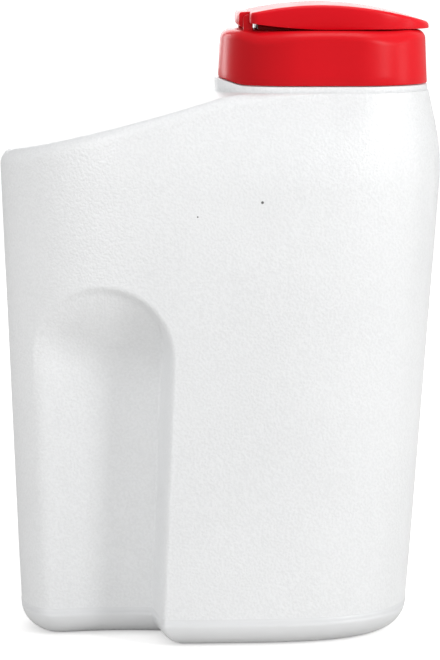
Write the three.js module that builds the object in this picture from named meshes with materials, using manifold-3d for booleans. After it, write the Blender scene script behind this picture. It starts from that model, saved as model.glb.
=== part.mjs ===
// A slim plastic carafe with a grip moulded into its narrow end and a red cap with a flip lid.
// Millimetres, +Z up. The front faces -Y, the grip is at -X and the pouring end at +X.
// The origin is on the floor, under the middle of the whole thing.

import * as THREE from 'three';
import Module from 'manifold-3d';
import { mergeVertices } from 'three/addons/utils/BufferGeometryUtils.js';

const wasm = await Module();
wasm.setup();

// Bottle, outside
const bottleWall = 1.6;
const baseLeft = -96.2;          // end of the grip at the floor
const baseRight = 88.7;          // pouring end at the floor
const leftDraft = 0.0372;        // how much each end leans out as it rises
const rightDraft = 0.0708;
const baseHalfDepth = 51;
const depthDraft = 0.0135;
const fullestX = -12;            // where the broad faces stand furthest out
const gripEndPower = 2.2;        // plan of the grip end, close to an ellipse
const pourEndPower = 4;          // plan of the pouring end, squarer
const baseFillet = 12;
const creaseZ = 229;             // the sides lean in above this height
const creaseSoftness = 15;
const steepestLean = 0.4;
const gripEndLean = 0.06;        // the lean left at the grip end, far from the cap
const leanNear = 20;             // the lean fades between these two distances from the cap
const leanFar = 90;

// Roof, which climbs from the grip end to the cap
const roofStartX = -93.4;
const roofStartZ = 233.1;
const roofSlope = 0.279;
const roofCrown = 2.4;           // how far the roof falls towards the broad faces
const roofTopZ = 258.7;
const roofBlend = 2;             // softens where the slope meets the level top
const roofFillet = 5.8;
const filletShare = 0.6;         // most of the roof's width that the fillet takes where it is narrow

// Grip scoops, one in each broad face, open at the floor
const archX = -56.4;
const archZ = 137;
const archRadius = 31.6;
const archLean = 0.04;           // the scoop drifts towards the grip end on the way down
const scoopWallSlope = 6;
const scoopFloorX = -54;         // line where the scoop is deepest
const scoopFloorHalfDepth = 22;
const floorDraft = 0.015;
const floorRiseLeft = 0.2;      // the floor comes up a little to each side
const floorRiseRight = 0.16;
const floorBlend = 9;
const archRampZ = 131;           // above this the floor runs out to the face
const archRampLag = 0.45;        // and higher up towards the grip end
const archRampSlope = 0.6;
const archRampSoftness = 9;
const scoopCornerBlend = 5;
const scoopEdgeBlend = 10;
const gripEdgeBlend = 7;         // the edge is rounder where the scoop meets the grip end
const gripEdgeFrom = -52;
const gripEdgeTo = -78;

// Cap
const capX = 47.9;
const capHalfLength = 49.15;
const capHalfDepth = 40;
const capCorner = 36;
const capBottomZ = 262;
const capTopZ = 287;
const capDraft = 0.9;            // how much the skirt draws in on the way up
const capWall = 2.2;
const capPlate = 2.6;
const capPlateSink = 0.4;        // added to the plate where the top is level
const capPlateCove = 1;          // how far the plate turns down where it meets the skirt
const capFillet = 4.5;
const capCornerDrop = 22;        // how far the top falls away at its four corners
const capFlatShare = 0.55;       // share of the depth that stays level along the middle
const capHeelX = 8;              // left of this the lower edge climbs
const capHeelSlope = 0.3;
const capHeelSoftness = 3;
const landGrow = 0.25;           // land on the bottle, just wider than the cap
const landHeel = 1.4;            // and further out at the grip end
const landLedge = 0.5;           // the shoulder stops this far outside the land
const fitGap = 0.4;

// Bottle neck, inside the cap
const neckInset = capWall + 1;
const neckTopZ = 275.5;

// Pouring hole in the cap, with a low collar round it
const pourX = 66;
const pourHalfLength = 21;
const pourHalfDepth = 15;
const pourCorner = 14;
const collarWall = 1.8;
const collarHeight = 2;

// Flip lid
const lidLeft = 12;
const lidTip = 98.2;
const lidHalfDepth = 30;
const lidMiddleX = 48;
const lidWall = 2;
const lidCorner = 4;             // at the hinge end
const lidTopZ = 300;
const lidCrownX = 45;
const lidCrownDrop = 0.0035;
const lidSideDrop = 1.4;
const lidEdgeRadius = 1.6;
const lidUnderZ = 287.4;
const lidUnderRise = 0.0021;     // the lower edge lifts towards the hinge
const lidUnderStartX = 50;
const lidInnerRim = 0.6;         // least height of the rim, inside
const lidOuterRim = 0.7;         // and outside
const plugDepth = 1.2;           // the plug under the lid reaches this far into the cap

// Hinge
const hingeX = 11.5;
const hingeZ = 292;
const knuckleLeft = 7.4;
const knuckleHalfDepth = 19.5;
const knuckleBevel = 0.8;
const knuckleFromTurn = 205;     // its round lower edge runs between these two directions
const knuckleToTurn = 295;
const lugInner = 20;
const lugOuter = 23.5;
const lugRadius = 2.2;
const knuckleRadius = 4.5;       // clears the top of the cap as the lid turns
const pinRadius = 1.1;
const pinHoleRadius = 1.5;
const pinEndInset = 0.3;         // the pin stops this far inside the lugs
const slotGap = 1.4;             // between a lug and the end of its slot in the lid
const slotHeadroom = 0.7;
const webRight = 40;             // end of the web that stands behind the hinge
const webHalfDepth = 17;
const webGap = 0.5;              // between the web and the lid or knuckle beside it

const white = new THREE.MeshStandardMaterial({ color: 0xe6e8ea, roughness: 0.5, metalness: 0 });
const red = new THREE.MeshStandardMaterial({ color: 0xd81a26, roughness: 0.35, metalness: 0 });

// Two values joined by their lower one, with a rounded change of about the given width.
function softMin(a, b, width) {
  const overlap = Math.max(width - Math.abs(a - b), 0) / width;
  return Math.min(a, b) - (overlap * overlap * width) / 4;
}

function softMax(a, b, width) {
  return -softMin(-a, -b, width);
}

// Zero before the start, then a straight climb, with a bend twice the softness long.
function softRamp(t, softness) {
  if (t <= -softness) return 0;
  if (t >= softness) return t;
  return (t + softness) ** 2 / (4 * softness);
}

// A closed surface through rings of equally many points, given from one end to the other.
// A ring list that comes back to its start is looped, any other is shut at both ends.
function loft(rings, looped = false) {
  const count = rings[0].length;
  const positions = rings.flat(2);
  const index = [];
  const links = looped ? rings.length : rings.length - 1;
  for (let i = 0; i < links; i++) {
    const a = i * count;
    const b = ((i + 1) % rings.length) * count;
    for (let j = 0; j < count; j++) {
      const k = (j + 1) % count;
      if (gapBetween(rings, i, j, k) > gapBetween(rings, i, k, j)) {
        index.push(a + j, a + k, b + j, a + k, b + k, b + j);
      } else {
        index.push(a + j, a + k, b + k, a + j, b + k, b + j);
      }
    }
  }
  if (!looped) {
    closeRing(positions, index, rings[0], 0, true);
    closeRing(positions, index, rings.at(-1), (rings.length - 1) * count, false);
  }
  const geometry = new THREE.BufferGeometry();
  geometry.setAttribute('position', new THREE.Float32BufferAttribute(positions, 3));
  geometry.setIndex(index);
  return geometry;
}

// Distance from one point of a ring to one on the next ring, so that each cell takes the
// shorter of its two diagonals.
function gapBetween(rings, i, from, to) {
  const a = rings[i][from];
  const b = rings[(i + 1) % rings.length][to];
  return Math.hypot(a[0] - b[0], a[1] - b[1], a[2] - b[2]);
}

function closeRing(positions, index, ring, start, first) {
  const centre = [0, 1, 2].map((axis) => ring.reduce((sum, p) => sum + p[axis], 0) / ring.length);
  const hub = positions.length / 3;
  positions.push(...centre);
  for (let j = 0; j < ring.length; j++) {
    const k = (j + 1) % ring.length;
    if (first) index.push(hub, start + k, start + j);
    else index.push(hub, start + j, start + k);
  }
}

function toSolid(geometry) {
  const bare = geometry.clone();
  bare.deleteAttribute('normal');
  bare.deleteAttribute('uv');
  const merged = mergeVertices(bare, 1e-4);
  return new wasm.Manifold(new wasm.Mesh({
    numProp: 3,
    vertProperties: Float32Array.from(merged.attributes.position.array),
    triVerts: Uint32Array.from(merged.index.array),
  }));
}

function toGeometry(solid) {
  const mesh = solid.getMesh();
  const geometry = new THREE.BufferGeometry();
  geometry.setAttribute('position', new THREE.BufferAttribute(new Float32Array(mesh.vertProperties), 3));
  geometry.setIndex(new THREE.BufferAttribute(new Uint32Array(mesh.triVerts), 1));
  return geometry;
}

function box(x0, x1, y0, y1, z0, z1) {
  const geometry = new THREE.BoxGeometry(x1 - x0, y1 - y0, z1 - z0);
  geometry.translate((x0 + x1) / 2, (y0 + y1) / 2, (z0 + z1) / 2);
  return toSolid(geometry);
}

// A side view carried across the middle, the same distance to each side.
function alongY(shape, halfDepth) {
  const geometry = new THREE.ExtrudeGeometry(shape, { depth: 2 * halfDepth, bevelEnabled: false });
  geometry.rotateX(Math.PI / 2);
  geometry.translate(0, halfDepth, 0);
  return toSolid(geometry);
}

// A round bar along Y, about the hinge line.
function hingeBar(radius, y0, y1) {
  const geometry = new THREE.CylinderGeometry(radius, radius, y1 - y0, 20);
  geometry.translate(hingeX, (y0 + y1) / 2, hingeZ);
  return toSolid(geometry);
}

// Bottle

const leftEdge = (z) => baseLeft - leftDraft * z;
const rightEdge = (z) => baseRight + rightDraft * z;
const halfDepth = (z) => baseHalfDepth + depthDraft * z;
function roofZ(x, y) {
  const crown = roofCrown * (y / halfDepth(roofTopZ)) ** 2;
  return softMin(roofStartZ + (x - roofStartX) * roofSlope - crown, roofTopZ, roofBlend);
}

// Columns round the bottle, as angles from the grip end (-90) to the pouring end (90).
// They gather where the wall of the scoop is steep, and just to the grip side of it.
function columnAngles(perFace) {
  const gathering = 2.4;
  const shift = 0.06;
  const width = 0.16;
  const steepAngle = Math.asin((archX + archRadius - fullestX) / (fullestX - baseLeft)) - shift;
  const density = (a) => 1 + gathering * Math.exp(-(((a - steepAngle) / width) ** 2));
  const steps = 2000;
  const sums = [0];
  for (let i = 0; i < steps; i++) {
    sums.push(sums[i] + density(-Math.PI / 2 + (Math.PI * (i + 0.5)) / steps));
  }
  const angles = [];
  for (let j = 0; j <= perFace; j++) {
    const wanted = (sums[steps] * j) / perFace;
    const found = sums.findIndex((sum) => sum >= wanted - 1e-9);
    angles.push(-Math.PI / 2 + (Math.PI * found) / steps);
  }
  return angles;
}

// How far a point is inside the arch of the scoop, seen from the front.
function insideArch(x, z) {
  const middle = archX - archLean * Math.max(archZ - z, 0);
  return archRadius - Math.hypot(x - middle, Math.max(z - archZ, 0));
}

// Half the depth left between the two scoops.
function scoopFloor(x, z) {
  const fromLine = x - scoopFloorX;
  const rise = softMax(-floorRiseLeft * fromLine, floorRiseRight * fromLine, floorBlend);
  const lag = archRampLag * Math.max(-fromLine, 0);
  const runOut = archRampSlope * softRamp(z - archRampZ - lag, archRampSoftness);
  return scoopFloorHalfDepth + floorDraft * z + rise + runOut;
}

// A point on the side of the bottle, on the +Y face, drawn in by the inset.
function sidePoint(angle, z, inset) {
  const across = Math.sin(angle);
  const reach = across < 0 ? fullestX - leftEdge(z) : rightEdge(z) - fullestX;
  const power = across < 0 ? gripEndPower : pourEndPower;
  const x = fullestX + across * (reach - inset);
  const face = (halfDepth(z) - inset) * Math.sqrt(Math.max(1 - Math.abs(across) ** power, 0));
  const toFloor = face - (scoopFloor(x, z) - inset);
  const cut = softMin(scoopWallSlope * (insideArch(x, z) + inset), toFloor, scoopCornerBlend);
  const share = THREE.MathUtils.smoothstep(gripEdgeFrom - x, 0, gripEdgeFrom - gripEdgeTo);
  return [x, face - softMax(cut, 0, THREE.MathUtils.lerp(scoopEdgeBlend, gripEdgeBlend, share))];
}

// A whole ring from the column angles: along the front, then back along the rear.
function mirrorRing(pointAt, angles) {
  const last = angles.length - 1;
  const front = angles.map((angle) => pointAt(angle)).map(([x, y, z]) => [x, -y, z]);
  const rear = angles.slice(1, last).reverse().map((angle) => pointAt(angle));
  return [...front, ...rear];
}

// The nearest point on the cap's outline drawn in by the inset, on the +Y side. Where the
// inset is negative the outline is the bottle's land, which reaches out at the grip end.
function nearestOnOutline([x, y], inset) {
  const cornerX = capHalfLength - capCorner;
  const cornerY = capHalfDepth - capCorner;
  const hubX = THREE.MathUtils.clamp(x - capX, -cornerX, cornerX);
  const hubY = THREE.MathUtils.clamp(y, 0, cornerY);
  const away = Math.hypot(x - capX - hubX, y - hubY);
  const scale = (capCorner - inset) / away;
  const along = hubX + (x - capX - hubX) * scale;
  const stretch = inset < 0 && along < 0 ? 1 + landHeel / capHalfLength : 1;
  return [capX + along * stretch, hubY + (y - hubY) * scale];
}

// The shoulder of one column: up the side, round the fillet, over the roof to the neck.
function shoulderPath(angle, wall, topInset, wallSteps, filletSteps, roofSteps) {
  const outerSide = sidePoint(angle, roofTopZ, 0);
  const outerLand = nearestOnOutline(outerSide, -landGrow);
  const straight = Math.hypot(outerLand[0] - outerSide[0], outerLand[1] - outerSide[1]);
  const farness = THREE.MathUtils.smoothstep(straight, leanNear, leanFar);
  const lean = Math.min((straight - landLedge) / (roofTopZ - creaseZ),
    THREE.MathUtils.lerp(steepestLean, gripEndLean, farness));
  const inward = (point, distance) => {
    const goal = nearestOnOutline(point, topInset);
    const gap = Math.hypot(goal[0] - point[0], goal[1] - point[1]);
    return [0, 1].map((i) => point[i] + ((goal[i] - point[i]) * distance) / gap);
  };
  const sideAt = (z) => inward(sidePoint(angle, z, wall), lean * softRamp(z - creaseZ, creaseSoftness));
  // The wall ends where the fillet begins, which depends on the roof over that spot.
  let top = roofTopZ;
  let radius = roofFillet;
  for (let i = 0; i < 6; i++) {
    const spot = sideAt(top - radius);
    const goal = nearestOnOutline(spot, topInset);
    const left = Math.hypot(goal[0] - spot[0], goal[1] - spot[1]);
    radius = Math.min(roofFillet, filletShare * left);
    top = roofZ(...spot) - wall;
  }
  const startZ = creaseZ - 2 * creaseSoftness;
  const path = [];
  for (let i = 1; i <= wallSteps; i++) {
    const z = THREE.MathUtils.lerp(startZ, top - radius, i / wallSteps);
    path.push([...sideAt(z), z]);
  }
  const springing = sideAt(top - radius);
  for (let i = 1; i <= filletSteps; i++) {
    const turn = (Math.PI / 2) * (i / filletSteps);
    const spot = inward(springing, radius * (1 - Math.cos(turn)));
    path.push([...spot, roofZ(...spot) - wall - radius * (1 - Math.sin(turn))]);
  }
  const eaves = inward(springing, radius);
  const land = nearestOnOutline(eaves, topInset);
  for (let i = 1; i <= roofSteps; i++) {
    const spot = [0, 1].map((k) => THREE.MathUtils.lerp(eaves[k], land[k], i / roofSteps));
    path.push([...spot, roofZ(...spot) - wall]);
  }
  return path;
}

function bottleSkin(angles, wall, topInset, levels, steps) {
  const rings = [];
  const filletRadius = baseFillet - wall;
  for (let i = 0; i <= steps.base; i++) {
    const turn = (Math.PI / 2) * (i / steps.base);
    const inset = filletRadius * (1 - Math.sin(turn));
    const z = wall + filletRadius * (1 - Math.cos(turn));
    rings.push(mirrorRing((angle) => [...sidePoint(angle, z, wall + inset), z], angles));
  }
  for (const z of levels) {
    rings.push(mirrorRing((angle) => [...sidePoint(angle, z, wall), z], angles));
  }
  const paths = new Map(angles.map((angle) => [
    angle, shoulderPath(angle, wall, topInset, steps.wall, steps.fillet, steps.roof),
  ]));
  for (let i = 0; i < steps.wall + steps.fillet + steps.roof; i++) {
    rings.push(mirrorRing((angle) => paths.get(angle)[i], angles));
  }
  return rings;
}

// The last ring carried to another inset and height, for the land and the neck.
function neckRing(ring, inset, heightAt) {
  return ring.map(([x, y]) => {
    const [nearX, nearY] = nearestOnOutline([x, Math.abs(y)], inset);
    return [nearX, y < 0 ? -nearY : nearY, heightAt(nearX)];
  });
}

function bottleGeometry() {
  const angles = columnAngles(34);
  const levels = [22, 60, 100, 124, 134, 139, 143, 147, 151, 155, 158, 161, 164, 167, 170, 174, 184];
  const outer = bottleSkin(angles, 0, -landGrow, levels, { base: 4, wall: 4, fillet: 3, roof: 3 });
  const inner = bottleSkin(angles, bottleWall, neckInset + bottleWall,
    [22, 80, 128, 140, 147, 154, 160, 166, 173, 184], { base: 2, wall: 3, fillet: 2, roof: 3 });
  const land = outer.at(-1);
  const landTop = (x) => capBottom(x) - fitGap;
  return loft([
    ...outer,
    neckRing(land, -landGrow, landTop),
    neckRing(land, neckInset, landTop),
    neckRing(land, neckInset, () => neckTopZ),
    neckRing(land, neckInset + bottleWall, () => neckTopZ),
    ...inner.reverse(),
  ]);
}

// Cap

// A rounded rectangle as a ring of points, anticlockwise from above.
function roundedRing(middleX, halfLength, halfWide, corner, heightAt, perCorner = 9) {
  const ring = [];
  for (let quarter = 0; quarter < 4; quarter++) {
    const sideX = quarter === 0 || quarter === 3 ? 1 : -1;
    const sideY = quarter < 2 ? 1 : -1;
    for (let i = 0; i <= perCorner; i++) {
      const angle = (Math.PI / 2) * (quarter + i / perCorner);
      const x = middleX + sideX * (halfLength - corner) + corner * Math.cos(angle);
      const y = sideY * (halfWide - corner) + corner * Math.sin(angle);
      ring.push([x, y, heightAt(x, y)]);
    }
  }
  return ring;
}

const capBottom = (x) => capBottomZ + capHeelSlope * softRamp(capHeelX - x, capHeelSoftness);

// The top of the cap falls away towards its four corners.
function capTop(x, y) {
  const along = Math.abs(x - capX) / capHalfLength;
  const across = Math.max(Math.abs(y) / capHalfDepth - capFlatShare, 0) / (1 - capFlatShare);
  return capTopZ - capCornerDrop * along ** 3 * across ** 2;
}

function capRing(inset, heightAt) {
  return roundedRing(capX, capHalfLength - inset, capHalfDepth - inset, capCorner - inset, heightAt);
}

function pourRing(grow, heightAt) {
  return roundedRing(pourX, pourHalfLength + grow, pourHalfDepth + grow, pourCorner + grow, heightAt);
}

function capGeometry() {
  const rings = [capRing(0, capBottom)];
  const filletSteps = 4;
  for (let i = 0; i <= filletSteps; i++) {
    const turn = (Math.PI / 2) * (i / filletSteps);
    const inset = capDraft + capFillet * (1 - Math.cos(turn));
    const below = capFillet * (1 - Math.sin(turn));
    rings.push(capRing(inset, (x, y) => capTop(x, y) - below));
  }
  const rim = rings.at(-1);
  const collarFoot = pourRing(collarWall, capTop);
  for (const share of [1 / 3, 2 / 3]) {
    rings.push(rim.map(([x, y], i) => {
      const spotX = THREE.MathUtils.lerp(x, collarFoot[i][0], share);
      const spotY = THREE.MathUtils.lerp(y, collarFoot[i][1], share);
      return [spotX, spotY, capTop(spotX, spotY)];
    }));
  }
  const plateUnder = (x, y) => Math.min(capTop(x, y), capTopZ - capPlateSink) - capPlate;
  const skirt = capRing(capWall + capDraft, (x, y) => plateUnder(x, y) - capPlateCove);
  rings.push(
    collarFoot,
    pourRing(collarWall, () => capTopZ + collarHeight),
    pourRing(0, () => capTopZ + collarHeight),
    pourRing(0, plateUnder),
    capRing(capWall + capDraft + capFillet, plateUnder),
    skirt,
    capRing(capWall, capBottom),
  );
  const lugs = [-1, 1].map((side) => hingeLug(side));
  return toGeometry(lugs.reduce((solid, lug) => solid.add(lug), toSolid(loft(rings, true)))
    .add(hingeWeb())
    .subtract(hingeBar(pinHoleRadius, -lugOuter - 1, lugOuter + 1)));
}

// The low web that stands behind the hinge and follows the lower edge of the lid.
function hingeWeb() {
  const left = hingeX + knuckleRadius + webGap;
  const shape = new THREE.Shape();
  shape.moveTo(left, capTopZ - 1);
  shape.lineTo(webRight, capTopZ - 1);
  for (const share of [0, 0.25, 0.5, 0.75, 1]) {
    const x = THREE.MathUtils.lerp(webRight, left, share);
    shape.lineTo(x, lidUnder(x) - webGap);
  }
  return alongY(shape, webHalfDepth);
}

function hingeLug(side) {
  const y0 = side > 0 ? lugInner : -lugOuter;
  const y1 = side > 0 ? lugOuter : -lugInner;
  const post = box(hingeX - lugRadius, hingeX + lugRadius, y0, y1, capTopZ - capPlate, hingeZ);
  return post.add(hingeBar(lugRadius, y0, y1));
}

// Flip lid

const lidUnder = (x) => lidUnderZ + lidUnderRise * Math.max(lidUnderStartX - x, 0) ** 2;

function lidTop(x, y) {
  return lidTopZ - lidCrownDrop * (x - lidCrownX) ** 2 - lidSideDrop * (y / lidHalfDepth) ** 2;
}

// Plan of the lid: square at the hinge end, drawn out to a rounded tip.
function lidRing(inset, heightAt) {
  const half = [];
  const steps = 14;
  const corner = lidCorner - inset;
  for (let i = 0; i <= steps; i++) {
    const angle = (Math.PI / 2) * (i / steps);
    const x = lidMiddleX + (lidTip - lidMiddleX - inset) * Math.cos(angle);
    const y = (lidHalfDepth - inset) * Math.sqrt(Math.max(1 - Math.cos(angle) ** 3, 0));
    half.push([x, y]);
  }
  half.push([(lidMiddleX + lidLeft) / 2, lidHalfDepth - inset]);
  const cornerSteps = 3;
  for (let i = 0; i <= cornerSteps; i++) {
    const angle = (Math.PI / 2) * (1 + i / cornerSteps);
    const x = lidLeft + inset + corner + corner * Math.cos(angle);
    half.push([x, lidHalfDepth - inset - corner + corner * Math.sin(angle)]);
  }
  const other = half.slice(1).reverse().map(([x, y]) => [x, -y]);
  return [...half, ...other].map(([x, y]) => [x, y, heightAt(x, y)]);
}

function shrinkToMiddle(ring, share, heightAt) {
  const middleX = (lidLeft + lidTip) / 2;
  return ring.map(([x, y]) => {
    const spotX = THREE.MathUtils.lerp(x, middleX, share);
    return [spotX, y * (1 - share), heightAt(spotX, y * (1 - share))];
  });
}

// A ring of the lid's rounded edge, set in by the inset and that far below the top.
function lidEdgeRing(inset, below) {
  const least = (x) => lidUnder(x) + lidOuterRim + inset / 2;
  return lidRing(inset, (x, y) => Math.max(lidTop(x, y) - below, least(x)));
}

function lidShell() {
  const inside = (x, y) => Math.max(lidTop(x, y) - lidWall, lidUnder(x) + lidInnerRim);
  const edge = lidRing(lidEdgeRadius, lidTop);
  const innerEdge = lidRing(lidWall, inside);
  return toSolid(loft([
    ...[0.75, 0.4].map((share) => shrinkToMiddle(innerEdge, share, inside)),
    innerEdge,
    lidRing(lidWall, lidUnder),
    lidRing(0, lidUnder),
    lidEdgeRing(0, lidEdgeRadius),
    lidEdgeRing(0.3 * lidEdgeRadius, 0.3 * lidEdgeRadius),
    edge,
    ...[0.25, 0.5, 0.8].map((share) => shrinkToMiddle(edge, share, lidTop)),
  ]));
}

// The knuckle between the lugs, from its side view. Its lower edge is round about the hinge.
function lidKnuckle() {
  const shape = new THREE.Shape();
  const right = lidLeft + lidWall;
  const top = (x) => lidTop(x, 0);
  shape.moveTo(knuckleLeft, top(knuckleLeft) - knuckleBevel);
  const steps = 4;
  for (let i = 0; i <= steps; i++) {
    const turn = THREE.MathUtils.lerp(knuckleFromTurn, knuckleToTurn, i / steps);
    const angle = THREE.MathUtils.degToRad(turn);
    shape.lineTo(hingeX + knuckleRadius * Math.cos(angle), hingeZ + knuckleRadius * Math.sin(angle));
  }
  shape.lineTo(right, lidUnder(right));
  shape.lineTo(right, top(right) - lidWall / 2);
  shape.lineTo(knuckleLeft + knuckleBevel, top(knuckleLeft + knuckleBevel));
  return alongY(shape, knuckleHalfDepth);
}

// The plug under the lid, which sits in the pouring hole.
function lidPlug() {
  const top = (x, y) => lidTop(x, y) - lidWall / 2;
  const foot = () => capTopZ - plugDepth;
  return toSolid(loft([
    pourRing(-fitGap, foot),
    pourRing(-fitGap, top),
    pourRing(-fitGap - collarWall, top),
    pourRing(-fitGap - collarWall, foot),
  ], true));
}

function lidGeometry() {
  let solid = lidShell();
  for (const side of [-1, 1]) {
    const y0 = side > 0 ? lugInner - fitGap : -lugOuter - fitGap;
    const y1 = side > 0 ? lugOuter + fitGap : -lugInner + fitGap;
    const slotEnd = hingeX + lugRadius + slotGap;
    solid = solid.subtract(box(lidLeft - 1, slotEnd, y0, y1, capTopZ, hingeZ + lugRadius + slotHeadroom));
  }
  return toGeometry(solid.add(lidKnuckle()).add(lidPlug())
    .add(hingeBar(pinRadius, pinEndInset - lugOuter, lugOuter - pinEndInset)));
}

function piece(name, geometry, material) {
  const mesh = new THREE.Mesh(geometry, material);
  mesh.name = name;
  geometry.computeVertexNormals();
  return mesh;
}

const carafe = new THREE.Group();
carafe.name = 'carafe';
carafe.add(piece('bottle', bottleGeometry(), white));
carafe.add(piece('cap', capGeometry(), red));
carafe.add(piece('flip_lid', lidGeometry(), red));

export default carafe;
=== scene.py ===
# A slim plastic carafe with a grip moulded into its narrow end, and a red cap with a flip lid.
# It stands on a pale floor in soft studio light. Shapes are worked out in millimetres.
import math
import bpy
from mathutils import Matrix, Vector


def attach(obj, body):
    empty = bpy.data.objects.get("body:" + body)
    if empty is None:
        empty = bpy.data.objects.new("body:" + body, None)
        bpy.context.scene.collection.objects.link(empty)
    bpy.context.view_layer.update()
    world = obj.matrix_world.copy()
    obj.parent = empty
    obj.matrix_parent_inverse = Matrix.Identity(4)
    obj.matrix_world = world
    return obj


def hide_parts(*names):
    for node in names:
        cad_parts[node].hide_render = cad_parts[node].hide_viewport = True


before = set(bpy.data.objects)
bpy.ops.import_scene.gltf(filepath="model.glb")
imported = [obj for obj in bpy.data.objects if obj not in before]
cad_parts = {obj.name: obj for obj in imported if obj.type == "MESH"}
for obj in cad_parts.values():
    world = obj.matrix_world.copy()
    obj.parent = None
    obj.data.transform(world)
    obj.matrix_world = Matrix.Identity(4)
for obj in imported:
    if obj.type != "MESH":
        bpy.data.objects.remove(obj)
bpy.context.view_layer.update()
mm = 0.001


def mix(a, b, share):
    return a + (b - a) * share


# The lower of two heights, with the crease between them eased over a width.
def softMin(a, b, width):
    overlap = max(width - abs(a - b), 0) / width
    return min(a, b) - overlap * overlap * width / 4


def softMax(a, b, width):
    return -softMin(-a, -b, width)


# Zero below zero and t above it, with a soft start.
def softRamp(t, softness):
    if t <= -softness:
        return 0.0
    if t >= softness:
        return t
    return (t + softness) ** 2 / (4 * softness)


def smoothStep(t, low, high):
    t = min(max((t - low) / (high - low), 0), 1)
    return t * t * (3 - 2 * t)


def addPiece(name, points, faces):
    mesh = bpy.data.meshes.new(name)
    mesh.from_pydata([Vector(point) * mm for point in points], [], faces)
    mesh.update()
    mesh.polygons.foreach_set("use_smooth", [True] * len(mesh.polygons))
    piece = bpy.data.objects.new(name, mesh)
    bpy.context.scene.collection.objects.link(piece)
    return piece


# A skin through rings of equally many points: closed at both ends, or joined round to its first ring.
def loft(name, rings, looped=False):
    count = len(rings[0])
    points = [point for ring in rings for point in ring]
    faces = []
    for i in range(len(rings) if looped else len(rings) - 1):
        a = i * count
        b = (i + 1) % len(rings) * count
        for j in range(count):
            k = (j + 1) % count
            faces.append((a + j, a + k, b + k, b + j))
    if looped:
        return addPiece(name, points, faces)
    lastStart = (len(rings) - 1) * count
    for ring, start in ((rings[0], 0), (rings[-1], lastStart)):
        hub = len(points)
        points.append(sum((Vector(point) for point in ring), Vector()) / count)
        for j in range(count):
            k = (j + 1) % count
            faces.append((hub, start + j, start + k) if start else (hub, start + k, start + j))
    return addPiece(name, points, faces)


rounded = {"segments": 4, "sharperThan": 35}      # only edges that turn by more degrees


# A side view in x and z carried from y0 to y1, with its edges rounded.
def extrude(name, outline, y0, y1, rounding=0.0):
    count = len(outline)
    points = [(x, y, z) for y in (y0, y1) for x, z in outline]
    faces = [tuple(range(count)), tuple(reversed(range(count, 2 * count)))]
    for j in range(count):
        k = (j + 1) % count
        faces.append((j, count + j, count + k, k))
    piece = addPiece(name, points, faces)
    if rounding:
        bevel = piece.modifiers.new("rounded edges", "BEVEL")
        bevel.width = rounding * mm
        bevel.segments = rounded["segments"]
        bevel.limit_method = "ANGLE"
        bevel.angle_limit = math.radians(rounded["sharperThan"])
    return piece


view = {
    "place": (-0.060, -1.300, 0.330),             # metres
    "aim": (-0.00047, 0.0, 0.14349),
    "lens": 99.8, "frameHeight": 24,              # millimetres
    "nearest": 0.01, "farthest": 100,
}


def addCamera():
    camera = bpy.data.objects.new("camera", bpy.data.cameras.new("camera"))
    bpy.context.scene.collection.objects.link(camera)
    camera.location = view["place"]
    towards = Vector(view["aim"]) - Vector(view["place"])
    camera.rotation_euler = towards.to_track_quat("-Z", "Y").to_euler()
    camera.data.sensor_fit = "VERTICAL"
    camera.data.sensor_height = view["frameHeight"]
    camera.data.lens = view["lens"]
    camera.data.clip_start = view["nearest"]
    camera.data.clip_end = view["farthest"]
    bpy.context.scene.camera = camera


addCamera()
print("camera placed")


# A short way to write the nodes of one finish.
class Finish:
    def __init__(self, name):
        self.material = bpy.data.materials.new(name)
        self.material.use_nodes = True
        self.tree = self.material.node_tree
        self.shader = self.tree.nodes["Principled BSDF"]
        self.place = self.add("ShaderNodeTexCoord").outputs["Object"]

    def put(self, value, socket):
        if isinstance(value, bpy.types.NodeSocket):
            self.tree.links.new(value, socket)
        else:
            socket.default_value = value

    def add(self, kind, inputs=None, **settings):
        node = self.tree.nodes.new(kind)
        for key, value in settings.items():
            setattr(node, key, value)
        for key, value in (inputs or {}).items():
            self.put(value, node.inputs[key])
        return node

    def noise(self, scale, detail):
        node = self.add("ShaderNodeTexNoise", {"Vector": self.place, "Scale": scale, "Detail": detail})
        return node.outputs["Fac"]

    def math(self, kind, a, b):
        return self.add("ShaderNodeMath", {0: a, 1: b}, operation=kind).outputs[0]

    def vector(self, kind, inputs):
        return self.add("ShaderNodeVectorMath", inputs, operation=kind).outputs

    def spread(self, value, low, high, toLow=0.0, toHigh=1.0):
        return self.add("ShaderNodeMapRange", {
            "Value": value, "From Min": low, "From Max": high,
            "To Min": toLow, "To Max": toHigh}).outputs["Result"]

    def blend(self, share, a, b):
        node = self.add("ShaderNodeMix", data_type="RGBA")
        for value, number in ((share, 0), (a, 6), (b, 7)):
            self.put(value, node.inputs[number])
        return node.outputs[2]

    def done(self, inputs):
        for key, value in inputs.items():
            self.put(value, self.shader.inputs[key])
        return self.material


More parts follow.
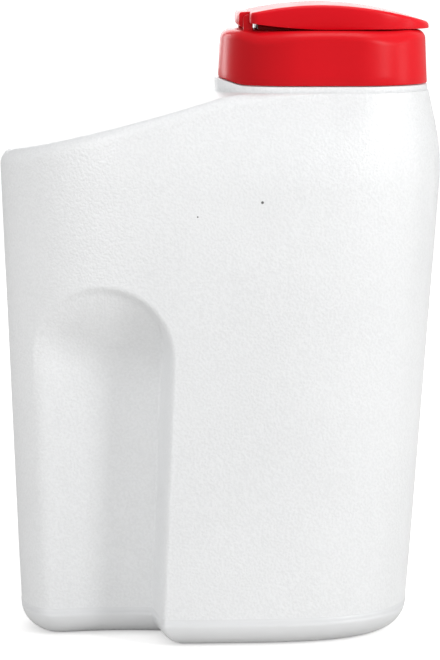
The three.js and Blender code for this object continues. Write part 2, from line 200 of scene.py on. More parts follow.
bottle = {
    "wall": 1.6,
    "baseLeft": -96.2, "baseRight": 88.7,         # ends of the body at the floor
    "leftDraft": 0.0372, "rightDraft": 0.0708,    # how much each end leans out
    "baseHalfDepth": 51, "depthDraft": 0.0135,
    "fullestX": -12,                              # the two ends meet here, where the body is deepest
    "gripEndPower": 2.2, "pourEndPower": 4,       # 2 is an ellipse, more is squarer
    "baseFillet": 12,
    "creaseZ": 229, "creaseSoftness": 15,         # from here up the shoulder leans in
    "steepestLean": 0.4, "gripEndLean": 0.06,
    "nearSpan": 20, "farSpan": 90,                # widths of the roof between which the lean changes
    "roofStartX": -93.4, "roofStartZ": 233.1, "roofSlope": 0.279,
    "roofCrown": 2.4, "roofTopZ": 258.7, "roofTopBlend": 2,
    "roofFillet": 5.8, "filletShare": 0.6,        # the fillet takes no more of the roof's width
    "archX": -56.4, "archZ": 137, "archRadius": 31.6, "archLean": 0.04,
    # The scoop's floor is lowest along one line, rises to both sides and ramps up under the arch.
    "scoopWallSlope": 6, "scoopFloorX": -54, "scoopFloorHalfDepth": 22,
    "floorDraft": 0.015, "floorRiseLeft": 0.2, "floorRiseRight": 0.16, "floorBlend": 9,
    "archRampZ": 131, "archRampLag": 0.45, "archRampSlope": 0.6, "archRampSoftness": 9, "lagSoftness": 12,
    "scoopCornerBlend": 5, "scoopEdgeBlend": 10,
    "gripEdgeBlend": 7, "gripEdgeFrom": -52, "gripEdgeTo": -78,        # tighter at the grip end
    "landGrow": 0.25, "landHeel": 1.4, "landLedge": 0.5, "fitGap": 0.4,
    "edgeRound": 0.5, "edgeEase": 0.15,           # the edge of the land under the cap
    "neckTopZ": 275.5, "mouthRound": 0.4,
    "grainStartZ": 14, "grainStep": 0.15,         # the foot below this height is smooth and proud
    "grainEdge": (-2, -0.15, 0.05, 0.6),          # heights about it where the step is made
    "stepEndsFrom": 16, "stepEndsTo": 40,
}
shoulderStartZ = bottle["creaseZ"] - 2 * bottle["creaseSoftness"]

bottleMesh = {
    "columns": 190,                               # on the front, and as many on the rear
    "angleSteps": 4000,
    "crowding": 2.0, "crowdingShift": 0.06, "crowdingWidth": 0.16,
    "radiusRounds": 6,                            # the fillet's radius and its place settle each other
    "outerSteps": {"base": 9, "wall": 20, "fillet": 9, "roof": 22},
    "innerSteps": {"base": 3, "wall": 6, "fillet": 3, "roof": 6},
    "outerSpacing": ((120, 4), (178, 1.35), (shoulderStartZ, 4)),      # up to a height, so far apart
    "innerSpacing": ((128, 12), (176, 3.2), (shoulderStartZ, 8)),
}

# The neck and the land around it follow the plan of the cap.
cap = {
    "x": 47.9, "halfLength": 49.15, "halfDepth": 40, "corner": 36,
    "bottomZ": 262, "topZ": 287, "draft": 0.9, "wall": 2.2, "plate": 2.6, "fillet": 4.5,
    "neckGap": 1,
    "flatUnder": 0.4,                             # the underside is flat until the top has dropped by this
    "cornerDrop": 22, "flatShare": 0.55,          # the top drops towards its corners, past its flat middle
    "heelX": 8, "heelSlope": 0.3, "heelBlend": 3,
    "edgeRound": 0.5, "edgeEase": 0.15, "innerEase": 1,
    "skirtShares": (0.25, 0.5, 0.75), "filletSteps": 12, "topSteps": 12,
    "pourX": 66, "pourHalfLength": 21, "pourHalfDepth": 15, "pourCorner": 14,
    "collarWall": 1.8, "collarHeight": 2,
    "sharpFrom": 50,                              # degrees
}
neckInset = cap["wall"] + cap["neckGap"]


def leftEdge(z):
    return bottle["baseLeft"] - bottle["leftDraft"] * z


def rightEdge(z):
    return bottle["baseRight"] + bottle["rightDraft"] * z


def halfDepth(z):
    return bottle["baseHalfDepth"] + bottle["depthDraft"] * z


def roofZ(x, y):
    crown = bottle["roofCrown"] * (y / halfDepth(bottle["roofTopZ"])) ** 2
    climb = bottle["roofStartZ"] + (x - bottle["roofStartX"]) * bottle["roofSlope"] - crown
    return softMin(climb, bottle["roofTopZ"], bottle["roofTopBlend"])


def capBottom(x):
    return cap["bottomZ"] + cap["heelSlope"] * softRamp(cap["heelX"] - x, cap["heelBlend"])


def landTop(x):
    return capBottom(x) - bottle["fitGap"]


def neckTop(x):
    return bottle["neckTopZ"]


# Columns from the grip end to the pouring end, closest at the wall of the scoop.
def columnAngles():
    span = bottle["fullestX"] - bottle["baseLeft"]
    steep = math.asin((bottle["archX"] + bottle["archRadius"] - bottle["fullestX"]) / span)
    steps, columns = bottleMesh["angleSteps"], bottleMesh["columns"]
    sums = [0.0]
    for i in range(steps):
        angle = -math.pi / 2 + math.pi * (i + 0.5) / steps
        away = (angle - steep + bottleMesh["crowdingShift"]) / bottleMesh["crowdingWidth"]
        sums.append(sums[-1] + 1 + bottleMesh["crowding"] * math.exp(-away ** 2))
    angles = []
    i = 0
    for j in range(columns + 1):
        while sums[i] < sums[-1] * j / columns - 1e-9:
            i += 1
        angles.append(-math.pi / 2 + math.pi * i / steps)
    return angles


def insideArch(x, z):
    middle = bottle["archX"] - bottle["archLean"] * max(bottle["archZ"] - z, 0)
    return bottle["archRadius"] - math.hypot(x - middle, max(z - bottle["archZ"], 0))


def scoopFloor(x, z):
    aside = x - bottle["scoopFloorX"]
    rise = softMax(-bottle["floorRiseLeft"] * aside, bottle["floorRiseRight"] * aside, bottle["floorBlend"])
    lag = bottle["archRampLag"] * softRamp(-aside, bottle["lagSoftness"])
    ramp = bottle["archRampSlope"] * softRamp(z - bottle["archRampZ"] - lag, bottle["archRampSoftness"])
    return bottle["scoopFloorHalfDepth"] + bottle["floorDraft"] * z + rise + ramp


# The side of the body at a height: its angle runs from the grip end to the pouring end.
def sidePoint(angle, z, inset):
    across = math.sin(angle)
    reach = bottle["fullestX"] - leftEdge(z) if across < 0 else rightEdge(z) - bottle["fullestX"]
    power = bottle["gripEndPower"] if across < 0 else bottle["pourEndPower"]
    x = bottle["fullestX"] + across * (reach - inset)
    face = (halfDepth(z) - inset) * math.sqrt(max(1 - abs(across) ** power, 0))
    toWall = bottle["scoopWallSlope"] * (insideArch(x, z) + inset)
    toFloor = face - (scoopFloor(x, z) - inset)
    cut = softMin(toWall, toFloor, bottle["scoopCornerBlend"])
    share = smoothStep(x, bottle["gripEdgeFrom"], bottle["gripEdgeTo"])
    return x, face - softMax(cut, 0, mix(bottle["scoopEdgeBlend"], bottle["gripEdgeBlend"], share))


def sideRing(angles, z, inset):
    points = [(*sidePoint(angle, z, inset), z) for angle in angles]
    return mirrored(points)


def mirrored(points):
    front = [(x, -y, z) for x, y, z in points]
    return front + list(reversed(points[1:-1]))


# The nearest point on the cap's outline, or on the bottle's land where the inset is negative.
def nearestOnOutline(x, y, inset):
    cornerX = cap["halfLength"] - cap["corner"]
    cornerY = cap["halfDepth"] - cap["corner"]
    hubX = min(max(x - cap["x"], -cornerX), cornerX)
    hubY = min(max(y, 0), cornerY)
    away = math.hypot(x - cap["x"] - hubX, y - hubY)
    scale = (cap["corner"] - inset) / away
    along = hubX + (x - cap["x"] - hubX) * scale
    stretch = 1 + bottle["landHeel"] / cap["halfLength"] if inset < 0 and along < 0 else 1
    return cap["x"] + along * stretch, hubY + (y - hubY) * scale


# A point moved some way towards the outline of the cap.
def movedInward(x, y, distance, topInset):
    goalX, goalY = nearestOnOutline(x, y, topInset)
    gap = math.hypot(goalX - x, goalY - y)
    return x + (goalX - x) * distance / gap, y + (goalY - y) * distance / gap


# One column of the shoulder: up the side, round the fillet and over the roof to the neck.
def shoulderPath(angle, wall, topInset, steps):
    outerX, outerY = sidePoint(angle, bottle["roofTopZ"], 0)
    landX, landY = nearestOnOutline(outerX, outerY, -bottle["landGrow"])
    straight = math.hypot(landX - outerX, landY - outerY)
    farness = smoothStep(straight, bottle["nearSpan"], bottle["farSpan"])
    lean = min((straight - bottle["landLedge"]) / (bottle["roofTopZ"] - bottle["creaseZ"]),
               mix(bottle["steepestLean"], bottle["gripEndLean"], farness))

    def sideAt(z):
        drawnIn = lean * softRamp(z - bottle["creaseZ"], bottle["creaseSoftness"])
        return movedInward(*sidePoint(angle, z, wall), drawnIn, topInset)

    top = bottle["roofTopZ"]
    radius = bottle["roofFillet"]
    for _ in range(bottleMesh["radiusRounds"]):
        x, y = sideAt(top - radius)
        goalX, goalY = nearestOnOutline(x, y, topInset)
        radius = min(bottle["roofFillet"], bottle["filletShare"] * math.hypot(goalX - x, goalY - y))
        top = roofZ(x, y) - wall
    path = []
    for i in range(1, steps["wall"] + 1):
        z = mix(shoulderStartZ, top - radius, i / steps["wall"])
        path.append((*sideAt(z), z))
    springX, springY = sideAt(top - radius)
    for i in range(1, steps["fillet"] + 1):
        turn = math.pi / 2 * i / steps["fillet"]
        x, y = movedInward(springX, springY, radius * (1 - math.cos(turn)), topInset)
        path.append((x, y, roofZ(x, y) - wall - radius * (1 - math.sin(turn))))
    eavesX, eavesY = movedInward(springX, springY, radius, topInset)
    landX, landY = nearestOnOutline(eavesX, eavesY, topInset)
    for i in range(1, steps["roof"] + 1):
        x = mix(eavesX, landX, i / steps["roof"])
        y = mix(eavesY, landY, i / steps["roof"])
        path.append((x, y, roofZ(x, y) - wall))
    return path


# The rings of one face of the wall, outer or inner, from the foot up to the neck.
def bottleSkin(angles, wall, topInset, levels, steps):
    rings = []
    radius = bottle["baseFillet"] - wall
    for i in range(steps["base"] + 1):
        turn = math.pi / 2 * i / steps["base"]
        inset = radius * (1 - math.sin(turn))
        rings.append(sideRing(angles, wall + radius * (1 - math.cos(turn)), wall + inset))
    for z, sunk in levels:
        rings.append(sideRing(angles, z, wall + sunk))
    paths = [shoulderPath(angle, wall, topInset, steps) for angle in angles]
    return rings + [mirrored(points) for points in zip(*paths)]


def neckRing(ring, inset, heightAt, drop):
    points = []
    for x, y, _ in ring:
        nearX, nearY = nearestOnOutline(x, abs(y), inset)
        points.append((nearX, -nearY if y < 0 else nearY, heightAt(nearX) - drop))
    return points


def levelHeights(startZ, spacing):
    levels = []
    for endZ, apart in spacing:
        count = max(round((endZ - startZ) / apart), 1)
        levels += [mix(startZ, endZ, (i + 1) / count) for i in range(count)]
        startZ = endZ
    return levels


def makeBottle():
    angles = columnAngles()
    start, step = bottle["grainStartZ"], bottle["grainStep"]
    # The smooth band at the foot stands a little proud of the grained wall above it.
    outerLevels = [(start + rise, step if rise > 0 else 0) for rise in bottle["grainEdge"]]
    for z in levelHeights(outerLevels[-1][0], bottleMesh["outerSpacing"]):
        outerLevels.append((z, step * (1 - smoothStep(z, bottle["stepEndsFrom"], bottle["stepEndsTo"]))))
    innerLevels = [(z, 0) for z in levelHeights(bottle["baseFillet"], bottleMesh["innerSpacing"])]
    landInset, neckWall = -bottle["landGrow"], neckInset + bottle["wall"]
    outer = bottleSkin(angles, 0, landInset, outerLevels, bottleMesh["outerSteps"])
    inner = bottleSkin(angles, bottle["wall"], neckWall, innerLevels, bottleMesh["innerSteps"])
    edge, ease, mouth = bottle["edgeRound"], bottle["edgeEase"], bottle["mouthRound"]
    upToMouth = (
        (landInset, landTop, edge), (landInset + ease, landTop, ease), (landInset + edge, landTop, 0),
        (neckInset, landTop, 0), (neckInset, neckTop, edge), (neckInset + edge, neckTop, 0),
        (neckWall - mouth, neckTop, 0), (neckWall, neckTop, mouth),
    )
    neck = [neckRing(outer[-1], inset, heightAt, drop) for inset, heightAt, drop in upToMouth]
    return loft("bottle_body", outer + neck + list(reversed(inner)))


bottleLook = {
    "colour": (0.80, 0.81, 0.82, 1), "duller": (0.755, 0.765, 0.775, 1),
    "cloudScale": 9, "cloudDetail": 3, "cloudRange": (0.35, 0.65),
    "grainSize": 0.0011, "grainCell": 0.9, "grainDetail": 1.5,         # metres
    "grainDepth": 0.0006, "grainStrength": 0.5, "grainFade": 0.2,      # metres, share, millimetres
    # The pits of the grain are painted a little darker: painted shade in the pits.
    "paintedPitShadeTone": 0.96, "bandTone": 0.90,          # of the pits, and of the smooth band at the foot
    "paintedPitShadeRange": (0.6, 0.4),
    "roughness": (0.34, 0.44), "roughnessRange": (0.3, 0.7),
    "translucency": 0.18, "lightDepth": (0.006, 0.006, 0.006),
    "speckColour": (0.10, 0.10, 0.10, 1), "speckCore": 0.6,
    "specks": ((16.5, 209.8, 0.8), (-13.1, 203.3, 0.45)),              # x, z and radius
}


# A spot on the front of the bottle, in metres.
def frontSpot(x, z):
    along = x - bottle["fullestX"]
    reach = rightEdge(z) - bottle["fullestX"] if along > 0 else bottle["fullestX"] - leftEdge(z)
    return x * mm, -sidePoint(math.asin(along / reach), z, 0)[1] * mm, z * mm


def speckMarks(plastic):
    marks = []
    for x, z, radius in bottleLook["specks"]:
        away = plastic.vector("DISTANCE", {0: plastic.place, 1: frontSpot(x, z)})["Value"]
        marks.append(plastic.spread(away, radius * bottleLook["speckCore"] * mm, radius * mm, 1, 0))
    return plastic.math("MAXIMUM", *marks)


def bottlePlastic():
    look = bottleLook
    plastic = Finish("grained white plastic")
    height = plastic.add("ShaderNodeSeparateXYZ", {"Vector": plastic.place}).outputs["Z"]
    grained = plastic.spread(height, (bottle["grainStartZ"] - look["grainFade"]) * mm,
                             (bottle["grainStartZ"] + look["grainFade"]) * mm)
    pebbles = plastic.noise(look["grainCell"] / look["grainSize"], look["grainDetail"])
    cloudy = plastic.spread(plastic.noise(look["cloudScale"], look["cloudDetail"]), *look["cloudRange"])
    # Painted shade: the pits of the grain are darkened where the bump sinks.
    paintedPitShade = plastic.spread(pebbles, *look["paintedPitShadeRange"], 1, look["paintedPitShadeTone"])
    bandToneAndPitShade = plastic.spread(grained, 0, 1, look["bandTone"], paintedPitShade)
    plain = plastic.blend(cloudy, look["duller"], look["colour"])
    plainWithPitShade = plastic.vector("SCALE", {0: plain, 3: bandToneAndPitShade})[0]
    bump = plastic.add("ShaderNodeBump", {
        "Height": plastic.math("MULTIPLY", pebbles, grained),
        "Strength": look["grainStrength"], "Distance": look["grainDepth"]})
    return plastic.done({
        "Subsurface Weight": look["translucency"], "Subsurface Radius": look["lightDepth"],
        "Subsurface Scale": 1.0, "Specular IOR Level": 0.5, "IOR": 1.5,
        "Base Color": plastic.blend(speckMarks(plastic), plainWithPitShade, look["speckColour"]),
        "Normal": bump.outputs["Normal"],
        "Roughness": plastic.spread(pebbles, *look["roughnessRange"], *look["roughness"])})


bottleBody = makeBottle()
bottleBody.data.materials.append(bottlePlastic())
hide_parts("bottle")
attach(bottleBody, "carafe")
print("bottle made", len(bottleBody.data.polygons))

redLook = {
    "cap": (0.72, 0.005, 0.012, 1), "lid": (0.76, 0.004, 0.013, 1), "deeper": 0.9,
    "cloudScale": 14, "cloudDetail": 2, "cloudRange": (0.35, 0.65),
    "grainScale": 900, "grainDetail": 2, "grainStrength": 0.10, "grainDepth": 0.00003,
    "roughness": (0.29, 0.36), "patchScale": 60, "patchDetail": 3, "patchRange": (0.3, 0.7),
    "translucency": 0.03, "lightDepth": (0.004, 0.001, 0.001), "gloss": 0.16,
}


def redPlastic(name, colour):
    look = redLook
    plastic = Finish(name)
    deeper = tuple(channel * look["deeper"] for channel in colour[:3]) + (1,)
    cloudy = plastic.spread(plastic.noise(look["cloudScale"], look["cloudDetail"]), *look["cloudRange"])
    patches = plastic.noise(look["patchScale"], look["patchDetail"])
    bump = plastic.add("ShaderNodeBump", {
        "Height": plastic.noise(look["grainScale"], look["grainDetail"]),
        "Strength": look["grainStrength"], "Distance": look["grainDepth"]})
    return plastic.done({
        "Subsurface Weight": look["translucency"], "Subsurface Radius": look["lightDepth"],
        "Specular IOR Level": look["gloss"], "IOR": 1.5,
        "Base Color": plastic.blend(cloudy, deeper, colour),
        "Normal": bump.outputs["Normal"],
        "Roughness": plastic.spread(patches, *look["patchRange"], *look["roughness"])})


# A rectangle with round corners, seen from above.
def roundedRing(middleX, halfLength, halfWide, corner, heightAt, cornerSteps=24, sideSteps=6):
    corners = []
    for quarter, (sideX, sideY) in enumerate(((1, 1), (-1, 1), (-1, -1), (1, -1))):
        hubX = middleX + sideX * (halfLength - corner)
        hubY = sideY * (halfWide - corner)
        turns = [math.pi / 2 * (quarter + i / cornerSteps) for i in range(cornerSteps + 1)]
        corners.append([(hubX + corner * math.cos(turn), hubY + corner * math.sin(turn)) for turn in turns])
    ring = []
    for quarter, points in enumerate(corners):
        (startX, startY), (endX, endY) = points[-1], corners[(quarter + 1) % 4][0]
        shares = [i / sideSteps for i in range(1, sideSteps)]
        ring += points + [(mix(startX, endX, share), mix(startY, endY, share)) for share in shares]
    return [(x, y, heightAt(x, y)) for x, y in ring]


def capTop(x, y):
    along = abs(x - cap["x"]) / cap["halfLength"]
    across = max(abs(y) / cap["halfDepth"] - cap["flatShare"], 0) / (1 - cap["flatShare"])
    return cap["topZ"] - cap["cornerDrop"] * along ** 3 * across ** 2


def plateUnder(x, y):
    return min(capTop(x, y), cap["topZ"] - cap["flatUnder"]) - cap["plate"]


def capRing(inset, heightAt):
    return roundedRing(cap["x"], cap["halfLength"] - inset, cap["halfDepth"] - inset,
                       cap["corner"] - inset, heightAt)


def pourRing(grow, heightAt):
    return roundedRing(cap["pourX"], cap["pourHalfLength"] + grow, cap["pourHalfDepth"] + grow,
                       cap["pourCorner"] + grow, heightAt)


def makeCapShell():
    edge, ease, wall, collarWall = cap["edgeRound"], cap["edgeEase"], cap["wall"], cap["collarWall"]
    rings = [capRing(edge, lambda x, y: capBottom(x)), capRing(ease, lambda x, y: capBottom(x) + ease),
             capRing(0, lambda x, y: capBottom(x) + edge)]
    # The skirt draws in a little on its way up to the rounded top edge.
    for share in cap["skirtShares"]:
        rings.append(capRing(cap["draft"] * share,
                             lambda x, y: mix(capBottom(x), capTop(x, y) - cap["fillet"], share)))
    for i in range(cap["filletSteps"] + 1):
        turn = math.pi / 2 * i / cap["filletSteps"]
        inset = cap["draft"] + cap["fillet"] * (1 - math.cos(turn))
        rings.append(capRing(inset, lambda x, y: capTop(x, y) - cap["fillet"] * (1 - math.sin(turn))))
    rim = rings[-1]
    collarFoot = pourRing(collarWall, capTop)
    for i in range(1, cap["topSteps"]):
        share = i / cap["topSteps"]
        spots = [(mix(x, footX, share), mix(y, footY, share))
                 for (x, y, _), (footX, footY, _) in zip(rim, collarFoot)]
        rings.append([(x, y, capTop(x, y)) for x, y in spots])
    collarTop = cap["topZ"] + cap["collarHeight"]
    rings += [
        collarFoot,
        pourRing(collarWall, lambda x, y: collarTop - edge),
        pourRing(collarWall - edge, lambda x, y: collarTop),
        pourRing(edge, lambda x, y: collarTop),
        pourRing(0, lambda x, y: collarTop - edge),
        pourRing(0, plateUnder),
        capRing(wall + cap["draft"] + cap["fillet"], plateUnder),
        capRing(wall + cap["draft"], lambda x, y: plateUnder(x, y) - cap["innerEase"]),
        capRing(wall, lambda x, y: capBottom(x) + edge),
        capRing(wall - edge, lambda x, y: capBottom(x)),
    ]
    return loft("cap_shell", rings, looped=True)


hinge = {
    "x": 11.5, "z": 292,                          # the line that the lid turns about
    "lugInner": 20, "lugOuter": 23.5, "lugRadius": 2.2, "lugRound": 0.35, "lugSteps": 16,
    "knuckleLeft": 7.4, "knuckleHalfDepth": 19.5, "knuckleBevel": 0.8, "knuckleRadius": 4.5,
    "knuckleFrom": 205, "knuckleTo": 295, "knuckleSteps": 14, "knuckleRound": 0.3,
    "webRight": 40, "webHalfDepth": 17, "webGap": 0.5, "webSunk": 1, "webSteps": 8, "webRound": 0.3,
    "pinRadius": 1.1, "pinTipRadius": 0.8, "pinShort": 0.3, "pinTaper": 0.3, "pinSides": 32,
    "slotGap": 0.4, "slotFootZ": 280, "slotBehind": 1.4, "slotOver": 0.7, "slotPast": 1,
}

lid = {
    "left": 12, "tip": 98.2, "halfDepth": 30, "middleX": 48, "corner": 4, "wall": 2,
    "topZ": 300, "crownX": 45, "crownDrop": 0.0035, "sideDrop": 1.4, "edgeRadius": 1.6,
    "underZ": 287.4, "underRise": 0.0021, "underStartX": 50,
    "tipPower": 3, "tipSteps": 48, "sideSteps": 13, "cornerSteps": 8, "endSteps": 10,
    "smallestCorner": 0.5, "edgeSteps": 8,        # the corners keep this much of their radius
    "rimRound": 0.3, "rimEase": 0.08,             # the lower edge of the lid
    "leastInside": 0.6, "leastEdge": 0.7, "edgeClimb": 0.1,            # where the lid is thin at its tip
    "underShares": (0.92, 0.75, 0.5, 0.25, 0.1),
    "topShares": (0.04, 0.1, 0.2, 0.35, 0.5, 0.65, 0.8, 0.92),
    "plugGap": 0.4, "plugSunk": 1.2, "plugRound": 0.6, "plugInnerRound": 0.4,
    "sharpFrom": 40,                              # degrees
}


def lidTop(x, y):
    return (lid["topZ"] - lid["crownDrop"] * (x - lid["crownX"]) ** 2
            - lid["sideDrop"] * (y / lid["halfDepth"]) ** 2)


def lidUnder(x, y=0):
    return lid["underZ"] + lid["underRise"] * max(lid["underStartX"] - x, 0) ** 2


# Points of a side view on a circle about the hinge line.
def arc(radius, fromDegrees, toDegrees, steps):
    turns = [math.radians(mix(fromDegrees, toDegrees, i / steps)) for i in range(steps + 1)]
    return [(hinge["x"] + radius * math.cos(turn), hinge["z"] + radius * math.sin(turn)) for turn in turns]


def makeLug(name, y0, y1):
    foot = cap["topZ"] - cap["plate"]
    outline = [(hinge["x"] - hinge["lugRadius"], foot), (hinge["x"] + hinge["lugRadius"], foot)]
    outline += arc(hinge["lugRadius"], 0, 180, hinge["lugSteps"])
    return extrude(name, outline, y0, y1, hinge["lugRound"])


def makeWeb():
    left = hinge["x"] + hinge["knuckleRadius"] + hinge["webGap"]
    foot = cap["topZ"] - hinge["webSunk"]
    outline = [(left, foot), (hinge["webRight"], foot)]
    for i in range(hinge["webSteps"] + 1):
        x = mix(hinge["webRight"], left, i / hinge["webSteps"])
        outline.append((x, lidUnder(x) - hinge["webGap"]))
    return extrude("cap_web", outline, -hinge["webHalfDepth"], hinge["webHalfDepth"], hinge["webRound"])


capRed = redPlastic("cap red plastic", redLook["cap"])
capShell = makeCapShell()
capShell.data.set_sharp_from_angle(angle=math.radians(cap["sharpFrom"]))
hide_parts("cap")
capPieces = [
    capShell, makeWeb(),
    makeLug("cap_lug_front", -hinge["lugOuter"], -hinge["lugInner"]),
    makeLug("cap_lug_rear", hinge["lugInner"], hinge["lugOuter"]),
]
for piece in capPieces:
    piece.data.materials.append(capRed)
    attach(piece, "carafe")
print("cap made", len(capShell.data.polygons))


# Plan of the lid: square at the hinge end, drawn out to a rounded tip.
def lidRing(inset, heightAt):
    half = []
    for i in range(lid["tipSteps"] + 1):
        angle = math.pi / 2 * i / lid["tipSteps"]
        narrowing = math.sqrt(max(1 - math.cos(angle) ** lid["tipPower"], 0))
        half.append((lid["middleX"] + (lid["tip"] - lid["middleX"] - inset) * math.cos(angle),
                     (lid["halfDepth"] - inset) * narrowing))
    corner = max(lid["corner"] - inset, lid["smallestCorner"])
    cornerX = lid["left"] + inset + corner
    sideY = lid["halfDepth"] - inset
    for i in range(1, lid["sideSteps"]):
        half.append((mix(lid["middleX"], cornerX, i / lid["sideSteps"]), sideY))
    for i in range(lid["cornerSteps"] + 1):
        angle = math.pi / 2 * (1 + i / lid["cornerSteps"])
        half.append((cornerX + corner * math.cos(angle), sideY - corner + corner * math.sin(angle)))
    endY = half[-1][1]
    half += [(lid["left"] + inset, endY * (1 - i / lid["endSteps"])) for i in range(1, lid["endSteps"] + 1)]
    other = [(x, -y) for x, y in reversed(half[1:-1])]
    return [(x, y, heightAt(x, y)) for x, y in half + other]


def towardsMiddle(ring, share, heightAt):
    middleX = (lid["left"] + lid["tip"]) / 2
    spots = [(mix(x, middleX, share), y * (1 - share)) for x, y, _ in ring]
    return [(x, y, heightAt(x, y)) for x, y in spots]


def lidInside(x, y):
    return max(lidTop(x, y) - lid["wall"], lidUnder(x) + lid["leastInside"])


def makeLidShell():
    wall, edge, ease = lid["wall"], lid["rimRound"], lid["rimEase"]
    innerEdge = lidRing(wall, lidInside)
    rings = [towardsMiddle(innerEdge, share, lidInside) for share in lid["underShares"]]
    rings += [innerEdge, lidRing(wall, lambda x, y: lidUnder(x) + edge),
              lidRing(wall - edge, lidUnder), lidRing(edge, lidUnder),
              lidRing(ease, lambda x, y: lidUnder(x) + ease), lidRing(0, lambda x, y: lidUnder(x) + edge)]
    for i in range(lid["edgeSteps"] + 1):
        turn = math.pi / 2 * i / lid["edgeSteps"]
        inset = lid["edgeRadius"] * (1 - math.cos(turn))
        below = lid["edgeRadius"] * (1 - math.sin(turn))
        least = lid["leastEdge"] + lid["edgeClimb"] * inset
        rings.append(lidRing(inset, lambda x, y: max(lidTop(x, y) - below, lidUnder(x) + least)))
    topEdge = rings[-1]
    rings += [towardsMiddle(topEdge, share, lidTop) for share in lid["topShares"]]
    return loft("lid_shell", rings)


# Cuts the two slots that the lugs of the cap stand in.
def cutSlots(shell):
    left = lid["left"] - hinge["slotPast"]
    right = hinge["x"] + hinge["lugRadius"] + hinge["slotBehind"]
    top = hinge["z"] + hinge["lugRadius"] + hinge["slotOver"]
    outline = [(left, hinge["slotFootZ"]), (right, hinge["slotFootZ"]), (right, top), (left, top)]
    near, far = hinge["lugInner"] - hinge["slotGap"], hinge["lugOuter"] + hinge["slotGap"]
    for y0, y1 in ((-far, -near), (near, far)):
        cutter = extrude("slot cutter", outline, y0, y1)
        cut = shell.modifiers.new("slot", "BOOLEAN")
        cut.object = cutter
        cut.operation = "DIFFERENCE"
        cut.solver = "EXACT"
        bpy.context.view_layer.update()
        done = bpy.data.meshes.new_from_object(shell.evaluated_get(bpy.context.evaluated_depsgraph_get()))
        shell.modifiers.remove(cut)
        shell.data = done
        bpy.data.objects.remove(cutter)
    shell.data.set_sharp_from_angle(angle=math.radians(lid["sharpFrom"]))


def makeKnuckle():
    left, bevel = hinge["knuckleLeft"], hinge["knuckleBevel"]
    right = lid["left"] + lid["wall"]
    outline = [(left, lidTop(left, 0) - bevel)]
    outline += arc(hinge["knuckleRadius"], hinge["knuckleFrom"], hinge["knuckleTo"], hinge["knuckleSteps"])
    outline += [(right, lidUnder(right)), (right, lidTop(right, 0) - lid["wall"] / 2),
                (left + bevel, lidTop(left + bevel, 0))]
    half = hinge["knuckleHalfDepth"]
    return extrude("lid_knuckle", outline, -half, half, hinge["knuckleRound"])


# The ring under the lid that closes the pouring hole.
def makePlug():
    foot = cap["topZ"] - lid["plugSunk"]
    outer, inner = -lid["plugGap"], -lid["plugGap"] - cap["collarWall"]
    edge, innerEdge = lid["plugRound"], lid["plugInnerRound"]

    def intoLid(x, y):
        return lidTop(x, y) - lid["wall"] / 2

    return loft("lid_plug", [
        pourRing(outer - edge, lambda x, y: foot), pourRing(outer, lambda x, y: foot + edge),
        pourRing(outer, intoLid), pourRing(inner, intoLid),
        pourRing(inner, lambda x, y: foot + innerEdge), pourRing(inner + innerEdge, lambda x, y: foot),
    ], looped=True)


def makePin():
    end = hinge["lugOuter"] - hinge["pinShort"]
    shoulder = end - hinge["pinTaper"]
    rings = []
    for y, radius in ((-end, hinge["pinTipRadius"]), (-shoulder, hinge["pinRadius"]),
                      (shoulder, hinge["pinRadius"]), (end, hinge["pinTipRadius"])):
        rings.append([(x, y, z) for x, z in arc(radius, 0, 360, hinge["pinSides"])[:-1]])
    return loft("lid_pin", rings)


lidShell = makeLidShell()
cutSlots(lidShell)
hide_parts("flip_lid")
lidRed = redPlastic("lid red plastic", redLook["lid"])
lidPieces = [lidShell, makeKnuckle(), makePlug(), makePin()]
for piece in lidPieces:
    piece.data.materials.clear()
    piece.data.materials.append(lidRed)
    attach(piece, "lid")
print("flip lid made", len(lidShell.data.polygons))

stage = {
    "floorSize": 60,                              # metres
    # Emission is dimmer near the carafe: painted shade round its foot, fading out between these distances.
    "paintedShadeFadeFrom": 0.15, "paintedShadeFadeTo": 0.9,              # distances from the carafe
    "paintedShadeNearGlow": 0.48, "farGlow": 0.66, "glowGiven": 0.05,
    "paintSeen": (0.86, 0.855, 0.85, 1), "paintGiven": (0.76, 0.75, 0.735, 1), "paintRoughness": 0.7,
    "skySeen": 1.05, "skyGiven": 0.57,
    "lightsAim": (0, 0, 0.15),
}


# One value that the camera sees, and another that falls on the carafe.
def seenAndGiven(tree, seen, given):
    lightPath = tree.nodes.new("ShaderNodeLightPath")
    choice = tree.nodes.new("ShaderNodeMapRange")
    tree.links.new(lightPath.outputs["Is Camera Ray"], choice.inputs["Value"])
    choice.inputs["To Min"].default_value = given
    if isinstance(seen, bpy.types.NodeSocket):
        tree.links.new(seen, choice.inputs["To Max"])
    else:
        choice.inputs["To Max"].default_value = seen
    return choice.outputs["Result"]
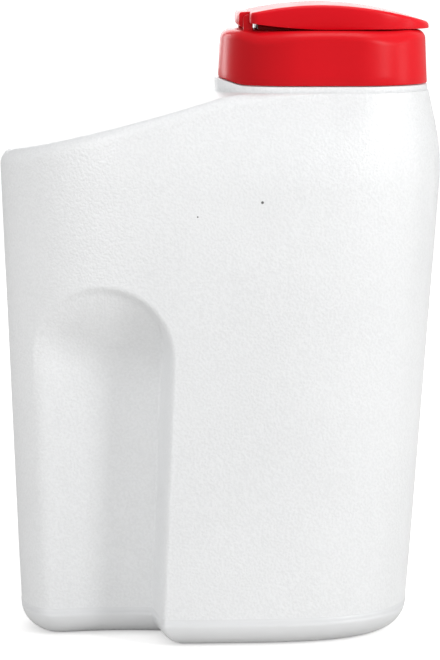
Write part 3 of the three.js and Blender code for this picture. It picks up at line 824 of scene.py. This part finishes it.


# The floor glows more away from the carafe than near it: painted shade round its foot, which deepens its
# shadow there.
def addFloor():
    bpy.ops.mesh.primitive_plane_add(size=stage["floorSize"])
    floor = bpy.context.object
    floor.name = "floor"
    paint = Finish("pale floor")
    away = paint.vector("LENGTH", {0: paint.place})["Value"]
    # Painted shade: the floor's emission is weaker close to the carafe.
    glowWithPaintedShade = paint.spread(away, stage["paintedShadeFadeFrom"], stage["paintedShadeFadeTo"], stage["paintedShadeNearGlow"], stage["farGlow"])
    colour = paint.blend(seenAndGiven(paint.tree, 1, 0), stage["paintGiven"], stage["paintSeen"])
    floor.data.materials.append(paint.done({
        "Roughness": stage["paintRoughness"], "Specular IOR Level": 0.0, "Base Color": colour,
        "Emission Color": (1, 1, 1, 1),
        "Emission Strength": seenAndGiven(paint.tree, glowWithPaintedShade, stage["glowGiven"])}))


# A soft box, its azimuth in degrees from the front towards the pouring end.
def addLight(name, azimuth, distance, height, size, power, onlyOn=()):
    lamp = bpy.data.lights.new(name, "AREA")
    lamp.shape = "RECTANGLE"
    lamp.size, lamp.size_y = size
    lamp.energy = power
    light = bpy.data.objects.new(name, lamp)
    bpy.context.scene.collection.objects.link(light)
    turn = math.radians(azimuth)
    light.location = (distance * math.sin(turn), -distance * math.cos(turn), height)
    towards = Vector(stage["lightsAim"]) - light.location
    light.rotation_euler = towards.to_track_quat("-Z", "Y").to_euler()
    if onlyOn:
        light.light_linking.receiver_collection = bpy.data.collections.new(name + " falls on")
        for piece in onlyOn:
            light.light_linking.receiver_collection.objects.link(piece)


def addSky():
    world = bpy.data.worlds.new("studio")
    world.use_nodes = True
    background = world.node_tree.nodes["Background"]
    background.inputs["Color"].default_value = (1, 1, 1, 1)
    strength = seenAndGiven(world.node_tree, stage["skySeen"], stage["skyGiven"])
    world.node_tree.links.new(strength, background.inputs["Strength"])
    bpy.context.scene.world = world


bpy.context.scene.view_settings.view_transform = "Standard"
addFloor()
redPieces = capPieces + lidPieces
addLight("pour side light", 50, distance=1.25, height=0.65, size=(0.25, 0.6), power=6.8)
addLight("pour side edge light", 80, distance=1.25, height=0.34, size=(0.25, 0.7), power=2.2)
addLight("grip side light", -36, distance=1.3, height=0.60, size=(0.3, 0.9), power=7, onlyOn=[bottleBody])
addLight("cap rim light", -140, distance=1, height=0.40, size=(0.3, 0.6), power=3, onlyOn=redPieces)
addLight("cap top light", 40, distance=0.3, height=1.5, size=(0.8, 0.8), power=6.5, onlyOn=redPieces)
addLight("back light", 180, distance=1.3, height=0.6, size=(0.8, 0.8), power=5)
addLight("top light", 0, distance=0.1, height=1.5, size=(1.2, 1.2), power=1.5)
addSky()
print("lights placed")
